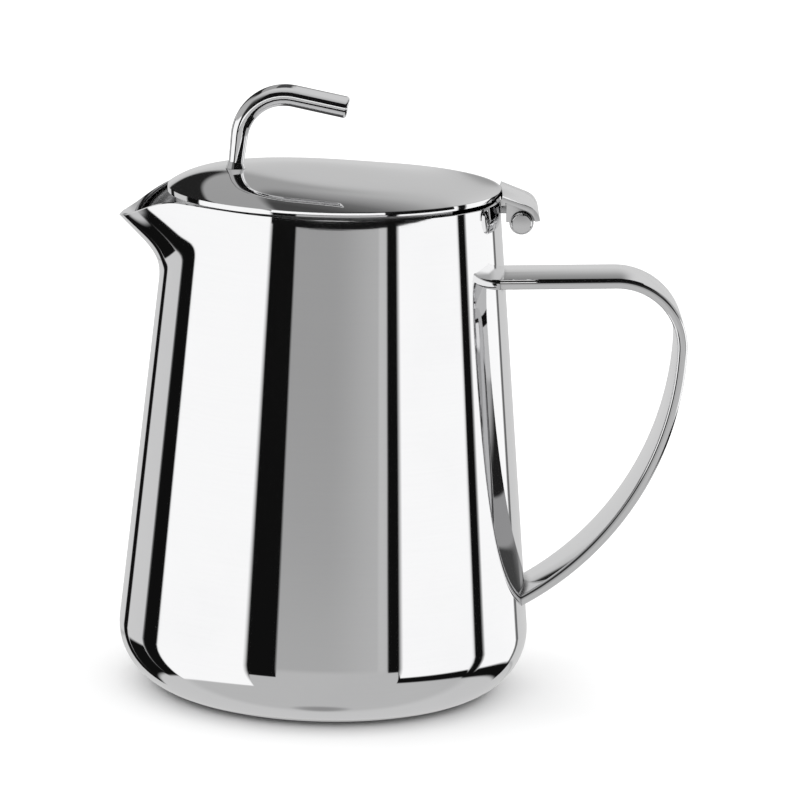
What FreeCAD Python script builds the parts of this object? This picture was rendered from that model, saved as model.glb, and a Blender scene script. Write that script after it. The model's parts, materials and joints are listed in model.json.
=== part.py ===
# Polished steel teapot with a pressed pouring lip, a hinged lid with a hook, and a strap handle.
# Millimetres, +Z up. The origin is on the table, under the middle of the body.
# The lip points to -X, the hinge and the handle to +X, and the XZ plane is the plane of symmetry.
import FreeCAD, Part
import math
import os

# Body, pressed from sheet
sheet = 0.8                     # thickness of the body, base and lid sheets
body_radius = 48.0              # widest outside radius, level with the top of the base corner
corner_radius = 14.0            # outside radius of the rounded base corner
wall_lean = 5.5                 # degrees that the side leans in towards the mouth
rim_height = 116.3              # top outside edge of the mouth
base_opening_radius = 26.0      # hole in the turned-in floor that the base disc closes
base_lap = 4.0                  # overlap of the base disc on the turned-in floor
base_crown = 1.5                # rise of the base disc's middle
base_crown_radius = 20.0        # radius of the raised middle

# Pouring lip
lip_reach = 10.9                # how far the tip stands out from the side
lip_dip = 6.3                   # how far the tip lies below the rim
lip_depth = 9.6                 # height of the lip's underside below its tip
lip_blend = 7.0                 # half height of the curve between the side and the underside
lip_tip_round = 6.0             # degrees each way over which the tip is rounded
lip_flank_blend = 0.35          # share of a flank's width over which it curves into the round side
lip_dip_half_angle = 32.0       # degrees, half width of the dip in the rim
lip_patch_margin = 3.0          # degrees of plain side beyond the lip that its pressed patch takes in

# Strainer behind the lip
strainer_sheet = 0.6
strainer_height = 16.0
strainer_top_drop = 9.3         # top edge below the rim
strainer_half_angle = 45.0      # degrees that the plate reaches each side of the lip's middle
strainer_hole_half_angle = 20.0     # degrees of holes each side of it
strainer_hole_radius = 1.0
strainer_hole_pitch = 3.4
strainer_hole_margin = 1.8      # plain border above and below the holes

# Strap handle, a bar bent from a straight, a corner and a long bow
strap_width = 20.0
strap_thickness = 2.4
strap_edge_radius = 1.1
strap_rise = 2.3                # degrees that the top arm rises to the back
strap_drop = 18.5               # middle of the bar below the rim, where the top arm meets the side
strap_arm = 25.5                # length of the straight top arm outside the side
strap_corner_radius = 15.2      # bend of the middle line at the upper corner
strap_corner_turn = 93.4        # degrees
strap_bow_radius = 71.7         # bend of the middle line down the back
strap_bow_turn = 58.0           # degrees

# Lid
lid_overhang = 0.4              # lid edge beyond the outside of the mouth
lid_edge = 1.0                  # height of the turned-down edge
lid_crown = 2.2                 # rise of the middle above the edge
lid_crown_lean = 0.08           # extra rise for each millimetre towards the lip
lid_fullness = 5.0              # power of the crown's fall towards its edge
lid_gap_front = 0.3             # gap between the closed lid and the rim at the lip
lid_gap_back = 1.4              # the same at the hinge
ring_clearance = 0.9            # lid ring to the inside of the mouth
ring_depth = 4.5                # lid ring below the lid's edge
ring_open_half_angle = 42.0     # degrees of the ring left out each side of the hinge

# Hinge
hinge_offset = 4.5              # pin axis outside the side
hinge_drop = 3.9                # pin axis below the rim
pin_radius = 1.5
pin_head_radius = 2.45
pin_head = 1.2                  # thickness of each head
pin_running_clearance = 0.05    # pin to the lid's cheeks, radial
pin_fit_clearance = 0.01        # pin in the lug, radial
barrel_radius = 2.8             # round end of the lug and of each cheek
hood_gap = 0.3                  # lug to the hood that turns over it
hood_thickness = 1.2
hood_end_angle = 8.0            # degrees above level where the hood stops at the back
hinge_width = 22.0              # over the hood
lug_width = 10.0
lug_arm = 1.6                   # thickness of the lug's arm at the top of its round end
cheek_gap = 0.3                 # lug to each cheek, along the pin
cheek_front = 3.5               # front of each cheek from the pin axis
head_gap = 0.1                  # cheek to the pin's head

# Hook on the lid
hook_foot = 22.9                # foot from the lid's middle, towards the lip
hook_foot_radius = 1.75         # rod at the foot
hook_tip_radius = 2.55          # rod from the top of the arch to its tip
hook_stem_lean = 6.0            # degrees that the stem leans back
hook_stem = 7.8                 # straight stem above the lid
hook_arch_radius = 10.5
hook_arm_fall = 11.5            # degrees that the arm falls towards its tip
hook_arm = 12.7                 # straight arm behind the arch
hook_end_round = 0.8
hook_flare = 0.55               # how far the foot flares out beyond the rod
hook_flare_height = 1.6
stud_radius = 1.5
stud_hole_clearance = 0.1
stud_past_nut = 0.8
washer_radius = 3.5
washer_thickness = 0.5
nut_radius = 3.0                # over the corners of its six sides
nut_height = 2.4
thread_clearance = 0.02

# Seats
weld_gap = 0.03                 # between pieces that are welded or clamped together
sew_tolerance = 0.005           # largest mismatch closed between the faces of the pressed shell

Vec = FreeCAD.Vector
up = Vec(0, 0, 1)
along_y = Vec(0, 1, 0)
origin = Vec(0, 0, 0)
far = 4 * (body_radius + rim_height)

lean = math.radians(wall_lean)
corner_centre = body_radius - corner_radius
tip_height = rim_height - lip_dip
lip_foot_height = tip_height - lip_depth
lip_slope = lip_reach / lip_depth
patch_bottom = lip_foot_height - 2 * lip_blend


def wall_radius(height, inset=0.0):
    """Radius of the side at a height, on the outside or inset square to the sheet."""
    tangent_radius = corner_centre + corner_radius * math.cos(lean)
    tangent_height = corner_radius + corner_radius * math.sin(lean)
    return tangent_radius - (height - tangent_height) * math.tan(lean) - inset / math.cos(lean)


rim_radius = wall_radius(rim_height)
lid_radius = rim_radius + lid_overhang
hinge_x = wall_radius(rim_height - hinge_drop) + hinge_offset
hinge_z = rim_height - hinge_drop
hinge_point = Vec(hinge_x, 0, hinge_z)
lid_plane = rim_height + lid_gap_back
lid_close_turn = math.degrees(math.asin((lid_gap_back - lid_gap_front) / (hinge_x + lid_radius)))


def polygon_face(points):
    return Part.Face(Part.makePolygon(points + [points[0]]))


def revolved(points):
    """Solid turned about the Z axis from (radius, height) points."""
    face = polygon_face([Vec(radius, 0, height) for radius, height in points])
    return face.revolve(origin, up, 360)


def cylinder(radius, bottom, top, x=0.0):
    return Part.makeCylinder(radius, top - bottom, Vec(x, 0, bottom), up)


def y_cylinder(radius, length, centre):
    return Part.makeCylinder(radius, length, centre - along_y * (length / 2), along_y)


def extruded_in_y(face, width, middle=0.0):
    """Solid from a face in the XZ plane, centred on y = middle."""
    solid = face.extrude(Vec(0, width, 0))
    solid.translate(Vec(0, middle - width / 2, 0))
    return solid


def body_core(growth):
    """Solid block in the outside shape of the body, grown by a small gap, that trims what is welded to it."""
    side = side_profile(-growth, rim_height)
    foot = side[0].Vertexes[0].Point
    top = side[-1].Vertexes[-1].Point
    axis_foot = Vec(0, 0, foot.z)
    axis_top = Vec(0, 0, top.z)
    outline = Part.Wire(side + [
        Part.makeLine(top, axis_top), Part.makeLine(axis_top, axis_foot), Part.makeLine(axis_foot, foot)])
    return Part.Face(outline).revolve(origin, up, 360)


# Pot shell

def lip_half_angle(height):
    """Degrees from the lip's middle to where its straight sides touch the round wall."""
    above = height - lip_foot_height
    share = max(0.0, (above + lip_blend) / (2 * lip_blend))
    if above < lip_blend:
        reach = lip_slope * lip_blend * share ** 4 * (5 - 6 * share + 2 * share ** 2)
    else:
        reach = lip_slope * above
    wall = wall_radius(height)
    return math.degrees(math.acos(wall / (wall + reach))) + lip_tip_round


def flank_blend(height):
    """Degrees each side of that touch over which the lip's side curves into the wall."""
    return lip_flank_blend * (lip_half_angle(height) - lip_tip_round)


def lip_bulge(angle, height):
    """How far the pressed lip stands out from the side, at an angle in degrees from the lip's middle."""
    slant = lip_half_angle(height) - math.hypot(angle, lip_tip_round)
    blend = flank_blend(height)
    if slant <= -blend:
        return 0.0
    if slant < blend:
        part = slant / blend
        slant = blend * (3 + 8 * part + 6 * part ** 2 - part ** 4) / 16
    return wall_radius(height) / math.cos(math.radians(slant)) - wall_radius(height)


patch_half_angle = lip_half_angle(rim_height) + flank_blend(rim_height) + lip_patch_margin


def rim_at(angle):
    """Height of the mouth's edge at an angle in degrees from the lip's middle."""
    if abs(angle) >= lip_dip_half_angle:
        return rim_height
    return rim_height - lip_dip * math.cos(math.pi / 2 * angle / lip_dip_half_angle) ** 2


def lip_point(angle, share, depth):
    """Point of the lip patch, at a share of its height, on the outside or at a depth into the sheet."""
    def outside(a, s):
        height = patch_bottom + s * (rim_at(a) - patch_bottom)
        radius = wall_radius(height) + lip_bulge(a, height)
        turn = math.radians(a)
        return Vec(-radius * math.cos(turn), radius * math.sin(turn), height)

    point = outside(angle, share)
    if depth == 0:
        return point
    step = 0.01
    across = outside(angle + step, share) - outside(angle - step, share)
    upward = outside(angle, share + step) - outside(angle, share - step)
    inward = across.cross(upward).normalize()
    return point + inward * depth


def lip_patch(depth):
    """Curved face of the pressed lip with the plain side just around it, drawn through level curves."""
    columns = 96
    rows = 24
    curves = []
    for row in range(rows + 1):
        curve = Part.BSplineCurve()
        curve.interpolate(
            Points=[
                lip_point(patch_half_angle * (2 * column / columns - 1), row / rows, depth)
                for column in range(columns + 1)],
            Parameters=[column / columns for column in range(columns + 1)])
        curves.append(curve)
    surface = Part.BSplineSurface()
    surface.buildFromNSections(curves)
    return surface.toShape()


def side_profile(depth, top):
    """Wire of the floor, base corner and side, on the outside or at a depth into the sheet."""
    radius = corner_radius - depth
    centre = Vec(corner_centre, 0, corner_radius)

    def on_corner(turn):
        return centre + Vec(math.cos(turn), 0, math.sin(turn)) * radius

    def on_side(height):
        start = Vec(wall_radius(height), 0, height)
        return start - Vec(math.cos(lean), 0, math.sin(lean)) * depth

    floor_edge = Vec(base_opening_radius, 0, depth)
    middle_turn = (lean - math.pi / 2) / 2
    edges = [
        Part.makeLine(floor_edge, on_corner(-math.pi / 2)),
        Part.Arc(on_corner(-math.pi / 2), on_corner(middle_turn), on_corner(lean)).toShape(),
        Part.makeLine(on_corner(lean), on_side(patch_bottom))]
    if top > patch_bottom:
        edges.append(Part.makeLine(on_side(patch_bottom), on_side(top)))
    return edges


def make_pot_shell():
    lip_turn = 2 * patch_half_angle
    plain_start = 180 + patch_half_angle
    lip_start = 180 - patch_half_angle
    faces = []
    for depth in (0.0, sheet):
        for start, turn, top in (
                (plain_start, 360 - lip_turn, rim_height), (lip_start, lip_turn, patch_bottom)):
            for edge in side_profile(depth, top):
                edge.rotate(origin, up, start)
                faces.append(edge.revolve(origin, up, turn))
        faces.append(lip_patch(depth))
    outer_rim = Vec(wall_radius(rim_height), 0, rim_height)
    inner_rim = outer_rim - Vec(math.cos(lean), 0, math.sin(lean)) * sheet
    for line, start, turn in (
            (Part.makeLine(outer_rim, inner_rim), plain_start, 360 - lip_turn),
            (Part.makeLine(Vec(base_opening_radius, 0, 0), Vec(base_opening_radius, 0, sheet)),
             plain_start, 360 - lip_turn),
            (Part.makeLine(Vec(base_opening_radius, 0, 0), Vec(base_opening_radius, 0, sheet)),
             lip_start, lip_turn)):
        line.rotate(origin, up, start)
        faces.append(line.revolve(origin, up, turn))
    outer_lip, inner_lip = [top_edge(face) for face in (lip_patch(0.0), lip_patch(sheet))]
    faces.append(Part.makeRuledSurface(outer_lip, inner_lip))
    shell = Part.Shell(faces)
    shell.sewShape(sew_tolerance)
    solid = Part.makeSolid(shell)
    if solid.Volume < 0:
        solid.reverse()
    solid.fixTolerance(sew_tolerance / 10, Part.Edge)
    return solid


def top_edge(face):
    return max(face.Edges, key=lambda edge: edge.CenterOfMass.z)


def make_base_disc():
    outer = base_opening_radius + base_lap
    low = sheet + weld_gap
    return revolved([
        (0, low + base_crown), (base_crown_radius, low + base_crown), (base_opening_radius, low), (outer, low),
        (outer, low + sheet), (base_opening_radius, low + sheet),
        (base_crown_radius, low + sheet + base_crown), (0, low + sheet + base_crown)])


def make_spout_strainer():
    top = rim_height - strainer_top_drop
    bottom = top - strainer_height
    outer = sheet + weld_gap
    inner = outer + strainer_sheet
    section = polygon_face([
        Vec(wall_radius(bottom, outer), 0, bottom), Vec(wall_radius(top, outer), 0, top),
        Vec(wall_radius(top, inner), 0, top), Vec(wall_radius(bottom, inner), 0, bottom)])
    section.rotate(origin, up, 180 - strainer_half_angle)
    plate = section.revolve(origin, up, 2 * strainer_half_angle)
    first_row = bottom + strainer_hole_margin + strainer_hole_radius
    last_row = top - strainer_hole_margin - strainer_hole_radius
    row_pitch = strainer_hole_pitch * math.sqrt(3) / 2
    rows = int((last_row - first_row) / row_pitch) + 1
    angle_pitch = math.degrees(strainer_hole_pitch / wall_radius(top, inner))
    columns = int(strainer_hole_half_angle / angle_pitch)
    holes = []
    for row in range(rows):
        height = first_row + row * row_pitch
        shift = angle_pitch / 2 * (row % 2)
        for column in range(-columns, columns + 1):
            angle = math.radians(180 + column * angle_pitch + shift)
            outward = Vec(math.cos(angle), math.sin(angle), 0)
            start = outward * (wall_radius(height, inner) - 2 * strainer_sheet) + up * height
            holes.append(Part.makeCylinder(strainer_hole_radius, 6 * strainer_sheet, start, outward))
    return plate.cut(Part.makeCompound(holes))


# Handle

def strap_path():
    """Start, corner arc and bow of the bar's middle line in the XZ plane, as points and headings."""
    heading = math.radians(strap_rise)
    height = rim_height - strap_drop
    start = Vec(wall_radius(height), 0, height)
    inside = 6 * strap_thickness
    points = [(start - direction(heading) * inside, heading)]
    place = start + direction(heading) * strap_arm
    points.append((place, heading))
    for radius, turn in (
            (strap_corner_radius, strap_corner_turn), (strap_bow_radius, strap_bow_turn)):
        place, heading = along_arc(place, heading, radius, math.radians(turn))
        points.append((place, heading))
    points.append((place + direction(heading) * inside, heading))
    return points


def direction(heading):
    return Vec(math.cos(heading), 0, math.sin(heading))


def left_of(heading):
    return Vec(-math.sin(heading), 0, math.cos(heading))


def along_arc(place, heading, radius, turn):
    """Point and heading after a clockwise arc."""
    centre = place - left_of(heading) * radius
    new_heading = heading - turn
    return centre + left_of(new_heading) * radius, new_heading


def strap_edge_line(side):
    """Edges of one face of the bar: +1 is the outside, -1 the inside."""
    offset = side * strap_thickness / 2
    points = strap_path()
    edges = []
    for (place, heading), (next_place, next_heading) in zip(points, points[1:]):
        start = place + left_of(heading) * offset
        end = next_place + left_of(next_heading) * offset
        if heading == next_heading:
            edges.append(Part.makeLine(start, end))
            continue
        radius = (place - next_place).Length / (2 * math.sin((heading - next_heading) / 2))
        centre = place - left_of(heading) * radius
        middle = centre + left_of((heading + next_heading) / 2) * (radius + offset)
        edges.append(Part.Arc(start, middle, end).toShape())
    return edges


def make_handle_strap():
    outer = strap_edge_line(1)
    inner = strap_edge_line(-1)
    ends = [
        Part.makeLine(outer[-1].Vertexes[-1].Point, inner[-1].Vertexes[-1].Point),
        Part.makeLine(inner[0].Vertexes[0].Point, outer[0].Vertexes[0].Point)]
    outline = Part.Wire(Part.__sortEdges__(outer + inner + ends))
    bar = extruded_in_y(Part.Face(outline), strap_width)
    half = strap_width / 2
    long_edges = [
        edge for edge in bar.Edges
        if all(abs(abs(vertex.Y) - half) < 0.001 for vertex in edge.Vertexes)
        and abs(edge.CenterOfMass.y) > half - 0.001 and edge.Length > 2 * strap_thickness]
    bar = bar.makeFillet(strap_edge_radius, long_edges)
    return bar.cut(body_core(weld_gap)).Solids[0]


# Lid, drawn with its edge level and then turned about the pin until it closes

def lid_surface(x, y):
    fall = (math.hypot(x, y) / lid_radius) ** lid_fullness
    return lid_plane + lid_edge + (lid_crown - lid_crown_lean * x) * (1 - fall)


def below_lid_surface(drop):
    """Block below the lid's top surface, lowered by a drop."""
    cells = 40
    reach = 1.06 * lid_radius
    grid = [reach * (2 * i / cells - 1) for i in range(cells + 1)]
    surface = Part.BSplineSurface()
    surface.interpolate([[Vec(x, y, lid_surface(x, y) - drop) for y in grid] for x in grid])
    return surface.toShape().extrude(Vec(0, 0, -far))


def closed(lid_piece):
    """The lid piece turned from its level drawing to its place on the closed pot."""
    piece = lid_piece.copy()
    piece.rotate(hinge_point, along_y, -lid_close_turn)
    return piece


def make_lid_shell():
    top = lid_plane + far
    outside = cylinder(lid_radius, lid_plane, top).common(below_lid_surface(0.0))
    inside = cylinder(lid_radius - sheet, lid_plane - sheet, top).common(below_lid_surface(sheet))
    stud_hole = cylinder(stud_radius + stud_hole_clearance, lid_plane, top, -hook_foot)
    return closed(outside.cut(inside).cut(stud_hole).Solids[0])


def make_lid_ring():
    outer = wall_radius(rim_height, sheet) - ring_clearance
    bottom = lid_plane - ring_depth
    top = lid_plane + far
    ring = cylinder(outer, bottom, top).cut(cylinder(outer - sheet, bottom, top))
    gap_half = math.radians(ring_open_half_angle)
    wedge = polygon_face([
        Vec(0, 0, bottom), Vec(far * math.cos(gap_half), -far * math.sin(gap_half), bottom),
        Vec(far * math.cos(gap_half), far * math.sin(gap_half), bottom)]).extrude(up * (top - bottom))
    ring = ring.cut(wedge).common(below_lid_surface(sheet + weld_gap))
    return closed(ring.Solids[0])


def make_lid_hinge_strap():
    hood_inner = barrel_radius + hood_gap
    hood_outer = hood_inner + hood_thickness
    edge_top = Vec(lid_radius + weld_gap, 0, lid_plane + lid_edge)
    to_edge = edge_top - hinge_point
    tangent = math.atan2(to_edge.z, to_edge.x) - math.acos(hood_outer / to_edge.Length)
    end = math.radians(hood_end_angle)

    def on_hood(turn, radius):
        return hinge_point + direction(turn) * radius

    middle = (tangent + end) / 2
    edge_bottom = edge_top - direction(tangent) * hood_thickness
    outline = Part.Wire([
        Part.makeLine(edge_bottom, edge_top),
        Part.makeLine(edge_top, on_hood(tangent, hood_outer)),
        Part.Arc(on_hood(tangent, hood_outer), on_hood(middle, hood_outer), on_hood(end, hood_outer)).toShape(),
        Part.makeLine(on_hood(end, hood_outer), on_hood(end, hood_inner)),
        Part.Arc(on_hood(end, hood_inner), on_hood(middle, hood_inner), on_hood(tangent, hood_inner)).toShape(),
        Part.makeLine(on_hood(tangent, hood_inner), edge_bottom)])
    strap = extruded_in_y(Part.Face(outline), hinge_width)
    strap = strap.cut(cylinder(lid_radius + weld_gap, lid_plane - far, lid_plane + far))
    cheek_width = hinge_width / 2 - pin_head - head_gap - lug_width / 2 - cheek_gap
    cheek_middle = lug_width / 2 + cheek_gap + cheek_width / 2
    into_hood = hood_inner + hood_thickness / 2
    hood_start = on_hood(tangent, into_hood)
    front_x = hinge_x - cheek_front
    front_top = hood_start + left_of(tangent) * ((hood_start.x - front_x) / math.sin(tangent))
    web = polygon_face([
        hinge_point, Vec(front_x, 0, hinge_z), front_top, hood_start, on_hood(middle, into_hood),
        on_hood(end, into_hood), on_hood(end, 0.1)])
    for side in (-1, 1):
        middle_y = side * cheek_middle
        strap = strap.fuse(y_cylinder(barrel_radius, cheek_width, hinge_point + along_y * middle_y))
        strap = strap.fuse(extruded_in_y(web, cheek_width, middle_y))
    bore = y_cylinder(pin_radius + pin_running_clearance, 2 * hinge_width, hinge_point)
    return closed(strap.cut(bore).removeSplitter().Solids[0])


def make_hinge_lug():
    inside = hinge_x - hinge_offset - corner_radius
    arm = polygon_face([
        Vec(inside, 0, hinge_z + barrel_radius - lug_arm), Vec(hinge_x, 0, hinge_z + barrel_radius - lug_arm),
        Vec(hinge_x, 0, hinge_z + barrel_radius), Vec(inside, 0, hinge_z + barrel_radius)])
    lug = extruded_in_y(arm, lug_width).fuse(y_cylinder(barrel_radius, lug_width, hinge_point))
    lug = lug.cut(y_cylinder(pin_radius + pin_fit_clearance, 2 * lug_width, hinge_point))
    return lug.removeSplitter().cut(body_core(weld_gap)).Solids[0]


def make_hinge_pin():
    pin = y_cylinder(pin_radius, hinge_width - pin_head, hinge_point)
    for side in (-1, 1):
        middle = hinge_point + along_y * (side * (hinge_width - pin_head) / 2)
        pin = pin.fuse(y_cylinder(pin_head_radius, pin_head, middle))
    return pin.removeSplitter()


# Hook

def make_lid_hook():
    heading = math.radians(90 - hook_stem_lean)
    seat = Vec(-hook_foot, 0, lid_surface(-hook_foot, 0))
    stem_start = seat - direction(heading) * sheet
    stem_top = seat + direction(heading) * hook_stem
    taper_length = hook_stem + hook_arch_radius * heading

    def rod_radius(length):
        share = min(1.0, length / taper_length)
        return hook_foot_radius + (hook_tip_radius - hook_foot_radius) * share

    stem = Part.makeCone(
        rod_radius(-sheet), rod_radius(hook_stem), hook_stem + sheet, stem_start, direction(heading))
    arch_turn = heading + math.radians(hook_arm_fall)
    steps = 12
    circles = []
    for step in range(steps + 1):
        turn = arch_turn * step / steps
        place, tangent = along_arc(stem_top, heading, hook_arch_radius, turn)
        radius = rod_radius(hook_stem + hook_arch_radius * turn)
        circles.append(Part.Wire(Part.makeCircle(radius, place, direction(tangent))))
    arch = Part.makeLoft(circles, True, False)
    arm = Part.makeCylinder(hook_tip_radius, hook_arm, place, direction(tangent))
    tip = place + direction(tangent) * hook_arm
    arm = arm.makeFillet(hook_end_round, [edge for edge in arm.Edges if (edge.CenterOfMass - tip).Length < 0.01])
    flare = Part.makeCone(hook_foot_radius + hook_flare, hook_foot_radius, hook_flare_height, seat, up)
    skirt = cylinder(hook_foot_radius + hook_flare, seat.z - sheet, seat.z, -hook_foot)
    rod = stem.fuse([arch, arm, flare, skirt]).cut(below_lid_surface(-weld_gap))
    stud = cylinder(stud_radius, nut_bottom() - stud_past_nut, seat.z + hook_flare_height / 2, -hook_foot)
    return closed(rod.fuse(stud).removeSplitter().Solids[0])


def washer_top():
    """Just under the lowest point of the lid's underside above the washer."""
    edges = (-hook_foot - washer_radius, -hook_foot + washer_radius)
    return min(lid_surface(x, 0) for x in edges) - sheet - weld_gap


def nut_bottom():
    return washer_top() - washer_thickness - weld_gap - nut_height


def make_hook_washer():
    top = washer_top()
    bottom = top - washer_thickness
    washer = cylinder(washer_radius, bottom, top, -hook_foot)
    return closed(washer.cut(cylinder(stud_radius + stud_hole_clearance, bottom, top, -hook_foot)))


def make_hook_nut():
    bottom = nut_bottom()
    corners = [
        Vec(-hook_foot + nut_radius * math.cos(k * math.pi / 3), nut_radius * math.sin(k * math.pi / 3), bottom)
        for k in range(6)]
    nut = polygon_face(corners).extrude(up * nut_height)
    bore = cylinder(stud_radius + thread_clearance, bottom, bottom + nut_height, -hook_foot)
    return closed(nut.cut(bore))


pieces = {
    "pot_shell": make_pot_shell,
    "base_disc": make_base_disc,
    "spout_strainer": make_spout_strainer,
    "handle_strap": make_handle_strap,
    "hinge_lug": make_hinge_lug,
    "hinge_pin": make_hinge_pin,
    "lid_shell": make_lid_shell,
    "lid_ring": make_lid_ring,
    "lid_hinge_strap": make_lid_hinge_strap,
    "lid_hook": make_lid_hook,
    "hook_washer": make_hook_washer,
    "hook_nut": make_hook_nut,
}

os.makedirs("parts", exist_ok=True)
for name, make in pieces.items():
    shape = make()
    box = shape.BoundBox
    print(name, "valid", shape.isValid(), "solids", len(shape.Solids), "volume", round(shape.Volume, 1),
          "x", round(box.XMin, 2), round(box.XMax, 2), "y", round(box.YMin, 2), round(box.YMax, 2),
          "z", round(box.ZMin, 2), round(box.ZMax, 2))
    shape.exportStep("parts/" + name + ".step")
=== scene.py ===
# Looks, studio and camera of the mirror-polished teapot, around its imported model. Metres, +Z up.
import json
import math

import bpy
from mathutils import Matrix, Vector


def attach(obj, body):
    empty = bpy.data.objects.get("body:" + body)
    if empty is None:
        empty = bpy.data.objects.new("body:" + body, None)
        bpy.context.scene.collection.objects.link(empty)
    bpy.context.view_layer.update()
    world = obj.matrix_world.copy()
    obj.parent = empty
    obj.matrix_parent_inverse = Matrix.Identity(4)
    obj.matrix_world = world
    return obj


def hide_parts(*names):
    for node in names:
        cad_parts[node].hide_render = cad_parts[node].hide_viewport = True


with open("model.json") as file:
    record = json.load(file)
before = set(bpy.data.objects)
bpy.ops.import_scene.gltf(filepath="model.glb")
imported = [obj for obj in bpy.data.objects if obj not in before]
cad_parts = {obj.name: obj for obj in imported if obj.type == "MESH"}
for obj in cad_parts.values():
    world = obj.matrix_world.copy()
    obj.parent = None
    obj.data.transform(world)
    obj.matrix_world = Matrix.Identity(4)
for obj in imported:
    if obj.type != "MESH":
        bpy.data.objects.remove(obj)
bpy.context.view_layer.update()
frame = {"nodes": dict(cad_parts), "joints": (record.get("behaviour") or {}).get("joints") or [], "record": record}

# Camera, level with the front of the pot and looking a little down on it
aim = Vector((0.0165, 0.0, 0.068))
camera_distance = 1.0
camera_height_angle = 11.9      # degrees above level
camera_roll = 1.72              # degrees, anticlockwise
camera_lens = 192.8             # millimetres
camera_sensor = 36.0            # millimetres
camera_reach = 50.0

# Studio
floor_half_size = 8.0
floor_colour = (0.93, 0.93, 0.93, 1.0)
floor_roughness = 0.9
fibre_scale = 900.0             # fibres of the floor's paper, per metre
fibre_roughness = 0.05
room_light = 1.40               # what lights the floor
panel_light = 1.1               # what the steel mirrors as white

# Tones of the studio's panels as shares of the panel light, from black card to white diffuser
white = 1.0
pale = 0.60
middle_grey = 0.335
light_grey = 0.42
window_glow = 0.10              # how much lighter the camera's window gets towards the handle's side
line_grey = 0.13
black = 0.005

# Panels around the pot: where each one ends, in degrees from the camera's side, turning towards the handle,
# its tone, how far below level its foot and the foot of the black skirting under it are, as sines, and how soft
# its foot is
tone_column = 1
foot_column = 2
skirting_column = 3
softness_column = 4
sharp = 0.02
soft = 0.13
panels = [
    (-151.0, pale, 0.28, 0.28, sharp), (-142.5, black, 0.60, 0.60, sharp), (-119.8, pale, 0.28, 0.60, sharp),
    (-104.5, black, 0.62, 0.62, sharp), (-42.1, white, 0.67, 0.67, sharp), (-24.5, black, 0.36, 0.36, sharp),
    (31.5, middle_grey, 0.13, 0.0, soft), (37.0, light_grey, 0.13, 0.0, soft), (45.0, black, 0.21, 0.21, sharp),
    (94.5, white, 0.38, 0.52, sharp), (102.8, black, 0.46, 0.54, sharp), (140.2, white, 0.40, 0.54, sharp),
    (144.2, line_grey, 0.40, 0.54, sharp), (180.0, pale, 0.40, 0.40, sharp)]
panel_edge = 1.0                # degrees of softness between two panels
table_tone = 0.485              # in front of the pot, which shades the table
back_table_tone = 0.57
under_shadow_tone = 0.28               # painted shadow of the pot straight below it, which the steel mirrors

# The room above those panels, as tones by height, the sine of the angle above level
front_tones = [(0.0, 0.01), (0.20, 0.02), (0.38, 0.04), (0.52, 0.16), (0.66, 0.45), (0.93, 0.62)]
back_tones = [(0.0, 0.66), (0.09, 0.60), (0.17, 0.50), (0.26, 0.33), (0.42, 0.15), (0.64, 0.06)]
side_tone = 0.42                # over the panels at the two sides
back_open_tone = 0.62           # behind the pot on the handle's side
back_screen_tone = 0.33         # grey screen high behind the pot on the lip's side
back_card_tone = 0.015          # black card under that screen
screen_foot = (0.3485, -0.0294, 0.2426)     # slanting edge between the two, as the direction square to it
screen_foot_edge = 0.006                    # softness of that edge
screen_side = (0.2985, -0.021, 0.0846)      # the screen's edge towards the middle of the room
screen_side_edge = 0.005

# Where the room changes from one tone to the next: the two values of a direction's part between which they mix
table_change = (0.02, 0.25)     # shaded table to the table behind the pot, by y
under_change = (-1.0, -0.985)   # painted shadow straight below to the shaded table, by z
front_change = (-0.1, 0.1)      # front of the room to its back, by y
screen_change = (0.16, 0.20)    # back of the room to the screen and card on the lip's side, by z
open_change = (0.06, 0.16)      # back of the room to its open end on the handle's side, by x
side_change = (0.36, 0.60)      # front and back to the room over the side panels, by the square of x
upper_change = (0.06, 0.12)     # panels to the room above them, by z
side_rise = 0.10                # how much higher the side panels are
glow_rise = (0.0, 0.60)         # the window's glow, by radians from the camera's side
glow_end = (0.640, 0.652)

# Cards near the pot that only the steel sees: name, distance, bottom, top, where they start and end in degrees
# from the camera's side, and tone. The header hangs over the camera's window, and the strip on it lights the
# lid's edge
cards = [
    ("header", 0.100, 0.1157, 0.210, -34.0, 75.0, black),
    ("edge_strip", 0.099, 0.1179, 0.132, -34.0, 29.0, white)]
card_steps = 48

# Black card over the handle: lowest and highest corner
flag_corners = [(0.046, -0.075, 0.165), (0.105, 0.040, 0.165)]

# Pressed sheet of the pot, with the sizes of the solid that it stands for
rim_height = 0.1163
body_radius = 0.048
corner_radius = 0.014
wall_lean = math.radians(5.5)
sheet = 0.0008
base_opening_radius = 0.026
lip_reach = 0.0109
lip_dip = 0.0063
lip_depth = 0.0096
lip_blend = 0.007
lip_tip_round = 6.0             # degrees over which the tip is rounded
lip_flank_blend = 0.35          # share of a flank's width that curves into the wall
lip_dip_half_angle = 32.0
columns = 320
corner_rows = 18
lip_rows = 44

# Bar of the handle, as the solid that it stands for
strap_width = 0.020
strap_thickness = 0.0024
strap_edge = 0.0006             # how far each edge of the bar bulges
strap_rise = math.radians(2.3)
strap_drop = 0.0185
strap_arm = 0.0255
strap_bends = [(0.0152, math.radians(93.4), 48), (0.0717, math.radians(58.0), 64)]  # radius, turn, steps
weld_gap = 0.00003
meeting_tries = 8               # steps towards the wall of the pot
edge_steps = 18

# Pressed lid, as the solid that it stands for
lid_overhang = 0.0004
lid_edge = 0.001
lid_edge_draft = math.radians(6.5)
lid_crown = 0.0022
lid_crown_lean = 0.08
lid_fullness = 5.0
lid_gap_front = 0.0003
lid_gap_back = 0.0014
lid_columns = 256
lid_rows = 64
edge_round = 0.0003             # rounding of the lid's turned-down edge
edge_round_steps = 3

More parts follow.
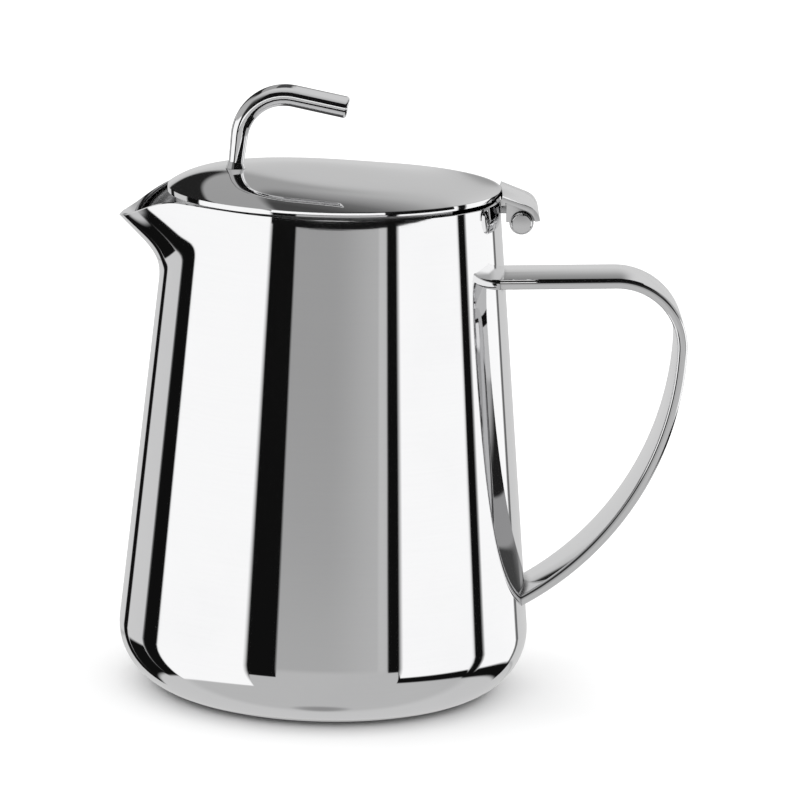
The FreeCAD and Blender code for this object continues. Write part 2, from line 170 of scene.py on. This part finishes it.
# Polished edges of the hinge's pieces: node, body and rounding
soft_edges = [("lid_hinge_strap", "lid", 0.00035), ("hinge_pin", "pot", 0.0005), ("hinge_lug", "pot", 0.0003)]
soft_edge_steps = 4
merge_distance = 0.000002
flat_angle = math.radians(0.5)
hinge_point = Vector(frame["joints"][0]["pos_m"])

# Angles past which an edge is rounded, and past which it stays sharp in the shading
corner_angle = math.radians(40)
hinge_shading_angle = math.radians(35)

# Steel
steel_colour = (0.86, 0.86, 0.865, 1.0)
steel_shade = (0.80, 0.80, 0.81, 1.0)
satin_colour = (0.70, 0.70, 0.705, 1.0)
satin_shade = (0.60, 0.60, 0.61, 1.0)
crevice_shade_colour = (0.05, 0.05, 0.052, 1.0)   # painted shade: the steel's colour in the corners between pieces, where shade falls
crevice_shade_reach = 0.0022
crevice_dark = 0.15             # openness at which a corner is darkest
crevice_unshaded = 0.75            # openness at which it has no painted shade

# Marks in the polish
round_lines = (60.0, 60.0, 2600.0)          # polishing lines per metre along x, y and z
flat_lines = (90.0, 1800.0, 90.0)
cross_lines = (1800.0, 90.0, 1800.0)
patch_scale = 38.0              # wiped patches per metre
patch_start = 0.45
patch_full = 0.75
wave_scale = 22.0               # waves of the sheet per metre
line_shade = 0.35               # how much of the shade colour lines and patches bring
patch_shade = 0.3
line_dulling = 0.6              # how much rougher they are, as shares of the finish's roughness
patch_dulling = 0.8
line_depth = 0.0006
bump_distance = 0.001


class Wire:
    """A socket of a node tree, so that sums over a surface are written as plain expressions."""

    def __init__(self, bench, socket):
        self.bench = bench
        self.socket = socket

    def maths(self, operation, first, second=0.0):
        return self.bench.node("ShaderNodeMath", {"operation": operation}, {0: first, 1: second})

    def __add__(self, other):
        return self.maths("ADD", self, other)

    def __radd__(self, other):
        return self.maths("ADD", other, self)

    def __sub__(self, other):
        return self.maths("SUBTRACT", self, other)

    def __rsub__(self, other):
        return self.maths("SUBTRACT", other, self)

    def __mul__(self, other):
        return self.maths("MULTIPLY", self, other)

    def __rmul__(self, other):
        return self.maths("MULTIPLY", other, self)

    def __truediv__(self, other):
        return self.maths("DIVIDE", self, other)

    def __rtruediv__(self, other):
        return self.maths("DIVIDE", other, self)


class Bench:
    """A node tree under construction."""

    def __init__(self, tree):
        self.tree = tree
        tree.nodes.clear()

    def node(self, kind, settings=None, sockets=None, output=0):
        """Adds a node: its settings first, with a ramp's stops, then the values or links of its sockets."""
        node = self.tree.nodes.new(kind)
        for name, value in (settings or {}).items():
            if name == "stops":
                self.set_stops(node.color_ramp, value)
            else:
                setattr(node, name, value)
        for name, value in (sockets or {}).items():
            if isinstance(value, Wire):
                self.tree.links.new(value.socket, node.inputs[name])
            else:
                node.inputs[name].default_value = value
        if not node.outputs:
            return None
        return Wire(self, node.outputs[output])

    def set_stops(self, ramp, stops):
        while len(ramp.elements) < len(stops):
            ramp.elements.new(1.0)
        for element, (place, tone) in zip(ramp.elements, stops):
            element.position = place
            element.color = (tone, tone, tone, 1.0)


def step(value, low, high):
    """0 below low, 1 above high and a smooth rise between them."""
    return value.bench.node(
        "ShaderNodeMapRange", {"interpolation_type": "SMOOTHSTEP"},
        {"Value": value, "From Min": low, "From Max": high})


def mix_colour(bench, share, first, second):
    return bench.node(
        "ShaderNodeMix", {"data_type": "RGBA"}, {"Factor": share, 6: first, 7: second}, output=2)


def split(bench, vector):
    return [bench.node("ShaderNodeSeparateXYZ", None, {"Vector": vector}, output=k) for k in range(3)]


# Steel finishes

def polished_steel(name, colour, shade, roughness, line_scale, waviness):
    """Bright steel with fine polishing lines, a slight wave of the sheet, wiped patches and painted shade in its
    corners.
    """
    material = bpy.data.materials.new(name)
    material.use_nodes = True
    bench = Bench(material.node_tree)
    place = bench.node("ShaderNodeTexCoord", output=3)
    lines_place = bench.node(
        "ShaderNodeMapping", None, {"Vector": place, "Scale": line_scale})
    lines = bench.node("ShaderNodeTexNoise", None, {"Vector": lines_place, "Scale": 1.0, "Detail": 3.0})
    patches = bench.node("ShaderNodeTexNoise", None, {"Vector": place, "Scale": patch_scale, "Detail": 4.0})
    wave = bench.node("ShaderNodeTexNoise", None, {"Vector": place, "Scale": wave_scale, "Detail": 1.0})
    wiped = step(patches, patch_start, patch_full)
    # Painted shade: where ambient occlusion finds a corner or recess between pieces closed, the base colour
    # darkens
    open_sky = bench.node(
        "ShaderNodeAmbientOcclusion", {"samples": 6}, {"Distance": crevice_shade_reach}, output=1)
    bright = mix_colour(bench, lines * line_shade + wiped * patch_shade, colour, shade)
    bump = bench.node(
        "ShaderNodeBump", None,
        {"Height": wave * waviness + lines * line_depth, "Strength": 1.0, "Distance": bump_distance})
    shader = bench.node("ShaderNodeBsdfPrincipled", None, {
        "Base Color": mix_colour(bench, step(open_sky, crevice_dark, crevice_unshaded), crevice_shade_colour, bright),
        "Metallic": 1.0,
        "Roughness": roughness + lines * roughness * line_dulling + wiped * roughness * patch_dulling,
        "Normal": bump})
    bench.node("ShaderNodeOutputMaterial", None, {"Surface": shader})
    return material


def make_finishes():
    """One steel for each slot: its colour and shade, roughness, polishing lines and wave of the sheet."""
    kinds = {
        "body_steel": (steel_colour, steel_shade, 0.022, round_lines, 0.05),
        "lid_steel": (steel_colour, steel_shade, 0.03, flat_lines, 0.05),
        "handle_steel": (steel_colour, steel_shade, 0.03, cross_lines, 0.03),
        "hook_steel": (steel_colour, steel_shade, 0.03, round_lines, 0.02),
        "hinge_steel": (steel_colour, steel_shade, 0.05, flat_lines, 0.02),
        "inner_steel": (satin_colour, satin_shade, 0.2, round_lines, 0.02)}
    return {slot: polished_steel(slot, *kind) for slot, kind in kinds.items()}


def dress_pieces(finishes):
    for subpart in frame["record"]["subparts"]:
        piece = frame["nodes"][subpart["node"]]
        piece.data.materials.clear()
        piece.data.materials.append(finishes[subpart["material_slot"]])


def apply_modifier(piece, kind, **settings):
    """Adds a modifier with these settings to the active piece and applies it."""
    modifier = piece.modifiers.new(kind.lower(), kind)
    for name, value in settings.items():
        setattr(modifier, name, value)
    bpy.ops.object.modifier_apply(modifier=modifier.name)


def round_edges(piece, width, steps):
    apply_modifier(piece, "BEVEL", width=width, segments=steps, limit_method="ANGLE", angle_limit=corner_angle)


# Pressed shell of the pot

corner_centre = body_radius - corner_radius
wall_foot = corner_radius * (1 + math.sin(wall_lean))
lip_tip_height = rim_height - lip_dip
lip_foot_height = lip_tip_height - lip_depth
fine_start = lip_foot_height - 2 * lip_blend


def wall_radius(height):
    """Outside of the leaning wall."""
    return corner_centre + corner_radius * math.cos(wall_lean) - (height - wall_foot) * math.tan(wall_lean)


def shell_rows():
    """Radius and height of each ring of the shell, from the opening in the base to the rim."""
    rows = [(corner_centre, 0.0)]
    for k in range(1, corner_rows + 1):
        angle = (math.pi / 2 + wall_lean) * k / corner_rows - math.pi / 2
        rows.append((corner_centre + corner_radius * math.cos(angle), corner_radius * (1 + math.sin(angle))))
    for k in range(lip_rows + 1):
        height = fine_start + (rim_height - fine_start) * k / lip_rows
        rows.append((wall_radius(height), height))
    return rows


def rim_at(angle):
    """Height of the rim, which dips at the lip. The angle is in degrees from the lip's middle."""
    if angle >= lip_dip_half_angle:
        return rim_height
    return rim_height - lip_dip * math.cos(math.pi / 2 * angle / lip_dip_half_angle) ** 2


def lip_bulge(angle, height):
    """How far the lip stands out of the wall."""
    above = height - lip_foot_height
    slope = lip_reach / lip_depth
    share = max(0.0, (above + lip_blend) / (2 * lip_blend))
    if above < lip_blend:
        reach = slope * lip_blend * share ** 4 * (5 - 6 * share + 2 * share ** 2)
    else:
        reach = slope * above
    wall = wall_radius(height)
    touch = math.degrees(math.acos(wall / (wall + reach))) + lip_tip_round
    slant = touch - math.hypot(angle, lip_tip_round)
    blend = lip_flank_blend * (touch - lip_tip_round)
    if slant <= -blend:
        return 0.0
    if slant < blend:
        part = slant / blend
        slant = blend * (3 + 8 * part + 6 * part ** 2 - part ** 4) / 16
    return wall / math.cos(math.radians(slant)) - wall


def press_lip(mesh):
    """Moves the top of a plain shell out and down to the lip, ring by ring."""
    for vertex in mesh.vertices:
        share = (vertex.co.z - fine_start) / (rim_height - fine_start)
        if share > 0:
            around = math.atan2(vertex.co.y, vertex.co.x)
            angle = 180.0 - abs(math.degrees(around))
            height = fine_start + share * (rim_at(angle) - fine_start)
            radius = wall_radius(height) + lip_bulge(angle, height)
            vertex.co = (radius * math.cos(around), radius * math.sin(around), height)


def press_shell(finish):
    bpy.ops.object.select_all(action="DESELECT")
    bpy.ops.mesh.primitive_circle_add(vertices=columns, radius=base_opening_radius, location=(0, 0, 0))
    shell = bpy.context.object
    shell.name = "pot_shell_sheet"
    bpy.ops.object.mode_set(mode="EDIT")
    bpy.ops.mesh.select_all(action="SELECT")
    radius, height = base_opening_radius, 0.0
    for next_radius, next_height in shell_rows():
        bpy.ops.mesh.extrude_region_move(TRANSFORM_OT_translate={"value": (0, 0, next_height - height)})
        growth = next_radius / radius
        bpy.ops.transform.resize(value=(growth, growth, 1), center_override=(0, 0, next_height))
        radius, height = next_radius, next_height
    bpy.ops.mesh.select_all(action="SELECT")
    bpy.ops.mesh.normals_make_consistent(inside=False)
    bpy.ops.object.mode_set(mode="OBJECT")
    press_lip(shell.data)
    apply_modifier(shell, "SOLIDIFY", thickness=sheet, offset=-1.0, use_even_offset=True)
    bpy.ops.object.shade_smooth_by_angle(angle=corner_angle)
    shell.data.materials.append(finish)
    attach(shell, "pot")
    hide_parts("pot_shell")


# Bar of the handle

def direction(heading):
    return Vector((math.cos(heading), 0, math.sin(heading)))


def left_of(heading):
    return Vector((-math.sin(heading), 0, math.cos(heading)))


def bar_section(place, heading):
    """Ring around the bar, whose two long edges are half ellipses."""
    ring = []
    for side in (1, -1):
        for k in range(edge_steps + 1):
            turn = math.pi * k / edge_steps - math.pi / 2
            along = side * (strap_width / 2 - strap_edge + strap_edge * math.cos(turn))
            across = side * strap_thickness / 2 * math.sin(turn)
            ring.append(place + left_of(heading) * across + Vector((0, along, 0)))
    return ring


def meet_wall(point, heading):
    """Slides a point along the bar until it is a weld's gap away from the side of the pot."""
    way = direction(heading)
    for _ in range(meeting_tries):
        reach = math.hypot(point.x, point.y)
        miss = reach - wall_radius(point.z) - weld_gap
        rate = point.x * way.x / reach + way.z * math.tan(wall_lean)
        point = point - way * (miss / rate)
    return point


def sweep_handle(finish):
    heading = strap_rise
    height = rim_height - strap_drop
    start = Vector((wall_radius(height), 0, height))
    ring = bar_section(start, heading)
    bpy.ops.object.select_all(action="DESELECT")
    bpy.ops.mesh.primitive_circle_add(vertices=len(ring), radius=strap_width, location=(0, 0, 0))
    bar = bpy.context.object
    bar.name = "handle_bar"
    for vertex, place in zip(bar.data.vertices, ring):
        vertex.co = meet_wall(place, heading)
    bpy.ops.object.mode_set(mode="EDIT")
    bpy.ops.mesh.select_all(action="SELECT")
    bpy.ops.mesh.extrude_region_move(TRANSFORM_OT_translate={"value": direction(heading) * strap_arm})
    bpy.ops.object.mode_set(mode="OBJECT")
    place = start + direction(heading) * strap_arm
    for vertex, corner in zip(bar.data.vertices[len(ring):], bar_section(place, heading)):
        vertex.co = corner
    bpy.ops.object.mode_set(mode="EDIT")
    for radius, turn, steps in strap_bends:
        centre = place - left_of(heading) * radius
        for _ in range(steps):
            bpy.ops.mesh.extrude_region_move(TRANSFORM_OT_translate={"value": (0, 0, 0)})
            bpy.ops.transform.rotate(value=-turn / steps, orient_axis="Y", center_override=centre)
        heading = heading - turn
        place = centre + left_of(heading) * radius
    bpy.ops.object.mode_set(mode="OBJECT")
    for vertex in bar.data.vertices[-len(ring):]:
        vertex.co = meet_wall(vertex.co, heading)
    bpy.ops.object.mode_set(mode="EDIT")
    bpy.ops.mesh.select_all(action="SELECT")
    bpy.ops.mesh.fill_holes(sides=0)
    bpy.ops.mesh.normals_make_consistent(inside=False)
    bpy.ops.object.mode_set(mode="OBJECT")
    bpy.ops.object.shade_smooth_by_angle(angle=corner_angle)
    bar.data.materials.append(finish)
    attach(bar, "pot")
    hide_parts("handle_strap")


# Pressed lid

lid_radius = wall_radius(rim_height) + lid_overhang
lid_plane = rim_height + lid_gap_back


def lid_surface(x, y):
    fall = (math.hypot(x, y) / lid_radius) ** lid_fullness
    return lid_plane + lid_edge + (lid_crown - lid_crown_lean * x) * (1 - fall)


def press_lid(finish):
    bpy.ops.object.select_all(action="DESELECT")
    bpy.ops.mesh.primitive_circle_add(vertices=lid_columns, radius=lid_radius, location=(0, 0, 0))
    lid = bpy.context.object
    lid.name = "lid_sheet"
    bpy.ops.object.mode_set(mode="EDIT")
    bpy.ops.mesh.select_all(action="SELECT")
    bpy.ops.transform.translate(value=(0, 0, lid_plane))
    bpy.ops.mesh.extrude_region_move(TRANSFORM_OT_translate={"value": (0, 0, lid_edge)})
    taper = 1 - lid_edge * math.tan(lid_edge_draft) / lid_radius
    bpy.ops.transform.resize(value=(taper, taper, 1), center_override=(0, 0, lid_plane))
    for row in range(1, lid_rows):
        bpy.ops.mesh.extrude_region_move(TRANSFORM_OT_translate={"value": (0, 0, 0)})
        shrink = (lid_rows - row) / (lid_rows - row + 1)
        bpy.ops.transform.resize(value=(shrink, shrink, 1), center_override=(0, 0, lid_plane))
    bpy.ops.mesh.merge(type="COLLAPSE")
    bpy.ops.mesh.select_all(action="SELECT")
    bpy.ops.mesh.normals_make_consistent(inside=False)
    bpy.ops.object.mode_set(mode="OBJECT")
    for vertex in lid.data.vertices[lid_columns:]:
        vertex.co.z = lid_surface(vertex.co.x, vertex.co.y)
    apply_modifier(lid, "SOLIDIFY", thickness=sheet, offset=-1.0, use_even_offset=True)
    round_edges(lid, edge_round, edge_round_steps)
    bpy.ops.object.shade_smooth_by_angle(angle=corner_angle)
    close_onto_rim(lid.data)
    lid.data.materials.append(finish)
    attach(lid, "lid")
    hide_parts("lid_shell")


def close_onto_rim(mesh):
    """Turns the lid from its level drawing about the pin, until it closes at the lip."""
    pin = hinge_point
    turn = math.asin((lid_gap_back - lid_gap_front) / (pin.x + lid_radius))
    mesh.transform(Matrix.Translation(pin) @ Matrix.Rotation(-turn, 4, "Y") @ Matrix.Translation(-pin))


# Hinge

def soften_edges(node_name, body, rounding, finishes):
    """The node's own shape with its sharp edges polished round."""
    slots = {subpart["node"]: subpart["material_slot"] for subpart in frame["record"]["subparts"]}
    node = frame["nodes"][node_name]
    piece = bpy.data.objects.new(node_name + "_polished", node.data.copy())
    bpy.context.scene.collection.objects.link(piece)
    bpy.ops.object.select_all(action="DESELECT")
    piece.select_set(True)
    bpy.context.view_layer.objects.active = piece
    bpy.ops.mesh.customdata_custom_splitnormals_clear()
    bpy.ops.object.mode_set(mode="EDIT")
    bpy.ops.mesh.select_all(action="SELECT")
    bpy.ops.mesh.remove_doubles(threshold=merge_distance)
    bpy.ops.mesh.dissolve_limited(angle_limit=flat_angle)
    bpy.ops.object.mode_set(mode="OBJECT")
    round_edges(piece, rounding, soft_edge_steps)
    bpy.ops.object.shade_smooth_by_angle(angle=hinge_shading_angle)
    piece.data.materials.clear()
    piece.data.materials.append(finishes[slots[node_name]])
    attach(piece, body)
    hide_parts(node_name)


# Studio

def by_panel(bench, around, column):
    """A column of the panels' list as a ramp around the room, with two stops where two panels meet."""
    stops = [(0.0, panels[0][column])]
    for panel, following in zip(panels, panels[1:]):
        for side, value in ((-0.5, panel[column]), (0.5, following[column])):
            stops.append(((panel[0] + side * panel_edge) / 360 + 0.5, value))
    return bench.node("ShaderNodeValToRGB", {"stops": stops}, {"Fac": around})


def grey(tone):
    return (tone, tone, tone, 1.0)


def beyond(place, square, softness):
    """1 on one side of a straight edge in the room, 0 on its other side."""
    reach = place[0] * square[0] + place[1] * square[1] + place[2] * square[2]
    return step(reach, -softness, softness)


def behind_the_pot(bench, place):
    """The room that the lid mirrors: it darkens upwards, with a screen and a card on the lip's side."""
    x, y, z = place
    middle = bench.node("ShaderNodeValToRGB", {"stops": back_tones}, {"Fac": z})
    over_foot = beyond(place, screen_foot, screen_foot_edge)
    screen = mix_colour(bench, over_foot, grey(back_card_tone), grey(back_screen_tone))
    lip_side = mix_colour(bench, step(z, *screen_change), middle, screen)
    shaded = mix_colour(bench, beyond(place, screen_side, screen_side_edge), lip_side, middle)
    return mix_colour(bench, step(x, *open_change), shaded, grey(back_open_tone))


def light_studio():
    """Room of upright panels that the steel mirrors, with an even light on everything that isn't a mirror."""
    world = bpy.data.worlds.new("studio")
    bpy.context.scene.world = world
    world.use_nodes = True
    bench = Bench(world.node_tree)
    place = split(bench, bench.node("ShaderNodeTexCoord"))
    x, y, z = place
    turn = bench.node("ShaderNodeMath", {"operation": "ARCTAN2"}, {0: x, 1: y * -1.0})
    around = turn / (2 * math.pi) + 0.5
    walls = by_panel(bench, around, tone_column)
    feet = by_panel(bench, around, foot_column)
    skirting = by_panel(bench, around, skirting_column)
    softness = by_panel(bench, around, softness_column)
    open_table = mix_colour(bench, step(y, *table_change), grey(table_tone), grey(back_table_tone))
    # Painted shadow of the pot straight below it, in the room that the steel mirrors
    table = mix_colour(bench, step(z, *under_change), grey(under_shadow_tone), open_table)
    low = mix_colour(bench, step(z + skirting, -sharp, sharp), table, grey(black))
    glow = step(turn, *glow_rise) * (1.0 - step(turn, *glow_end)) * window_glow
    lower = mix_colour(bench, step(z + feet, softness * -1.0, softness), low, walls + glow)
    front = bench.node("ShaderNodeValToRGB", {"stops": front_tones}, {"Fac": z})
    front_or_back = mix_colour(bench, step(y, *front_change), front, behind_the_pot(bench, place))
    at_side = step(x * x, *side_change)
    upper = mix_colour(bench, at_side, front_or_back, grey(side_tone))
    room = mix_colour(bench, step(z - at_side * side_rise, *upper_change), lower, upper)
    seen = bench.node("ShaderNodeBackground", None, {"Color": room, "Strength": panel_light})
    even = bench.node("ShaderNodeBackground", None, {"Color": grey(1.0), "Strength": room_light})
    is_glossy = bench.node("ShaderNodeLightPath", output=3)
    either = bench.node("ShaderNodeMixShader", None, {0: is_glossy, 1: even, 2: seen})
    bench.node("ShaderNodeOutputWorld", None, {"Surface": either})


def show_to_steel_only(card, tone):
    """Makes a mesh a card of the studio, of one tone, which nothing but a reflection shows."""
    card.visible_camera = False
    card.visible_diffuse = False
    card.visible_shadow = False
    material = bpy.data.materials.new(card.name)
    material.use_nodes = True
    bench = Bench(material.node_tree)
    shader = bench.node("ShaderNodeEmission", None, {"Color": grey(tone), "Strength": panel_light})
    bench.node("ShaderNodeOutputMaterial", None, {"Surface": shader})
    card.data.materials.append(material)


def hang_card(name, distance, bottom, top, start, end, tone):
    """Bends a card around the pot."""
    bpy.ops.object.select_all(action="DESELECT")
    bpy.ops.mesh.primitive_plane_add(size=distance, location=(0, 0, 0))
    card = bpy.context.object
    card.name = name
    around = math.radians(start - 90)
    bpy.ops.object.mode_set(mode="EDIT")
    bpy.ops.mesh.select_all(action="SELECT")
    bpy.ops.mesh.merge(type="CENTER")
    bpy.ops.transform.translate(value=(distance * math.cos(around), distance * math.sin(around), bottom))
    bpy.ops.mesh.extrude_region_move(TRANSFORM_OT_translate={"value": (0, 0, top - bottom)})
    bpy.ops.mesh.select_all(action="SELECT")
    bpy.ops.mesh.spin(steps=card_steps, angle=math.radians(start - end), center=(0, 0, 0), axis=(0, 0, 1))
    bpy.ops.object.mode_set(mode="OBJECT")
    show_to_steel_only(card, tone)


def hang_flag():
    """Lays a black card level over the handle."""
    low, high = Vector(flag_corners[0]), Vector(flag_corners[1])
    bpy.ops.object.select_all(action="DESELECT")
    bpy.ops.mesh.primitive_plane_add(size=1.0, location=(0, 0, 0))
    flag = bpy.context.object
    flag.name = "flag"
    bpy.ops.object.mode_set(mode="EDIT")
    bpy.ops.mesh.select_all(action="SELECT")
    bpy.ops.transform.resize(value=(high.x - low.x, high.y - low.y, 1))
    bpy.ops.transform.translate(value=(low + high) / 2)
    bpy.ops.object.mode_set(mode="OBJECT")
    show_to_steel_only(flag, black)


def lay_floor():
    bpy.ops.object.select_all(action="DESELECT")
    bpy.ops.mesh.primitive_plane_add(size=2 * floor_half_size, location=(0, 0, 0))
    floor = bpy.context.object
    floor.name = "floor"
    floor.visible_glossy = False
    material = bpy.data.materials.new("floor_paper")
    material.use_nodes = True
    bench = Bench(material.node_tree)
    place = bench.node("ShaderNodeTexCoord", output=3)
    fibre = bench.node("ShaderNodeTexNoise", None, {"Vector": place, "Scale": fibre_scale, "Detail": 2.0})
    shader = bench.node("ShaderNodeBsdfPrincipled", None, {
        "Base Color": floor_colour,
        "Roughness": floor_roughness + fibre * fibre_roughness,
        "Specular IOR Level": 0.0})
    bench.node("ShaderNodeOutputMaterial", None, {"Surface": shader})
    floor.data.materials.append(material)


def set_camera():
    data = bpy.data.cameras.new("camera")
    data.lens = camera_lens
    data.sensor_width = camera_sensor
    data.clip_end = camera_reach
    camera = bpy.data.objects.new("camera", data)
    bpy.context.scene.collection.objects.link(camera)
    tilt = math.radians(camera_height_angle)
    back = Vector((0.0, -math.cos(tilt), math.sin(tilt)))
    turn = Matrix.Rotation(math.pi / 2 - tilt, 4, "X") @ Matrix.Rotation(math.radians(camera_roll), 4, "Z")
    camera.matrix_world = Matrix.Translation(aim + back * camera_distance) @ turn
    bpy.context.scene.camera = camera


finishes = make_finishes()
dress_pieces(finishes)
press_shell(finishes["body_steel"])
sweep_handle(finishes["handle_steel"])
press_lid(finishes["lid_steel"])
for node_name, body, rounding in soft_edges:
    soften_edges(node_name, body, rounding, finishes)
light_studio()
for card in cards:
    hang_card(*card)
hang_flag()
lay_floor()
set_camera()
bpy.context.scene.view_settings.view_transform = "Standard"
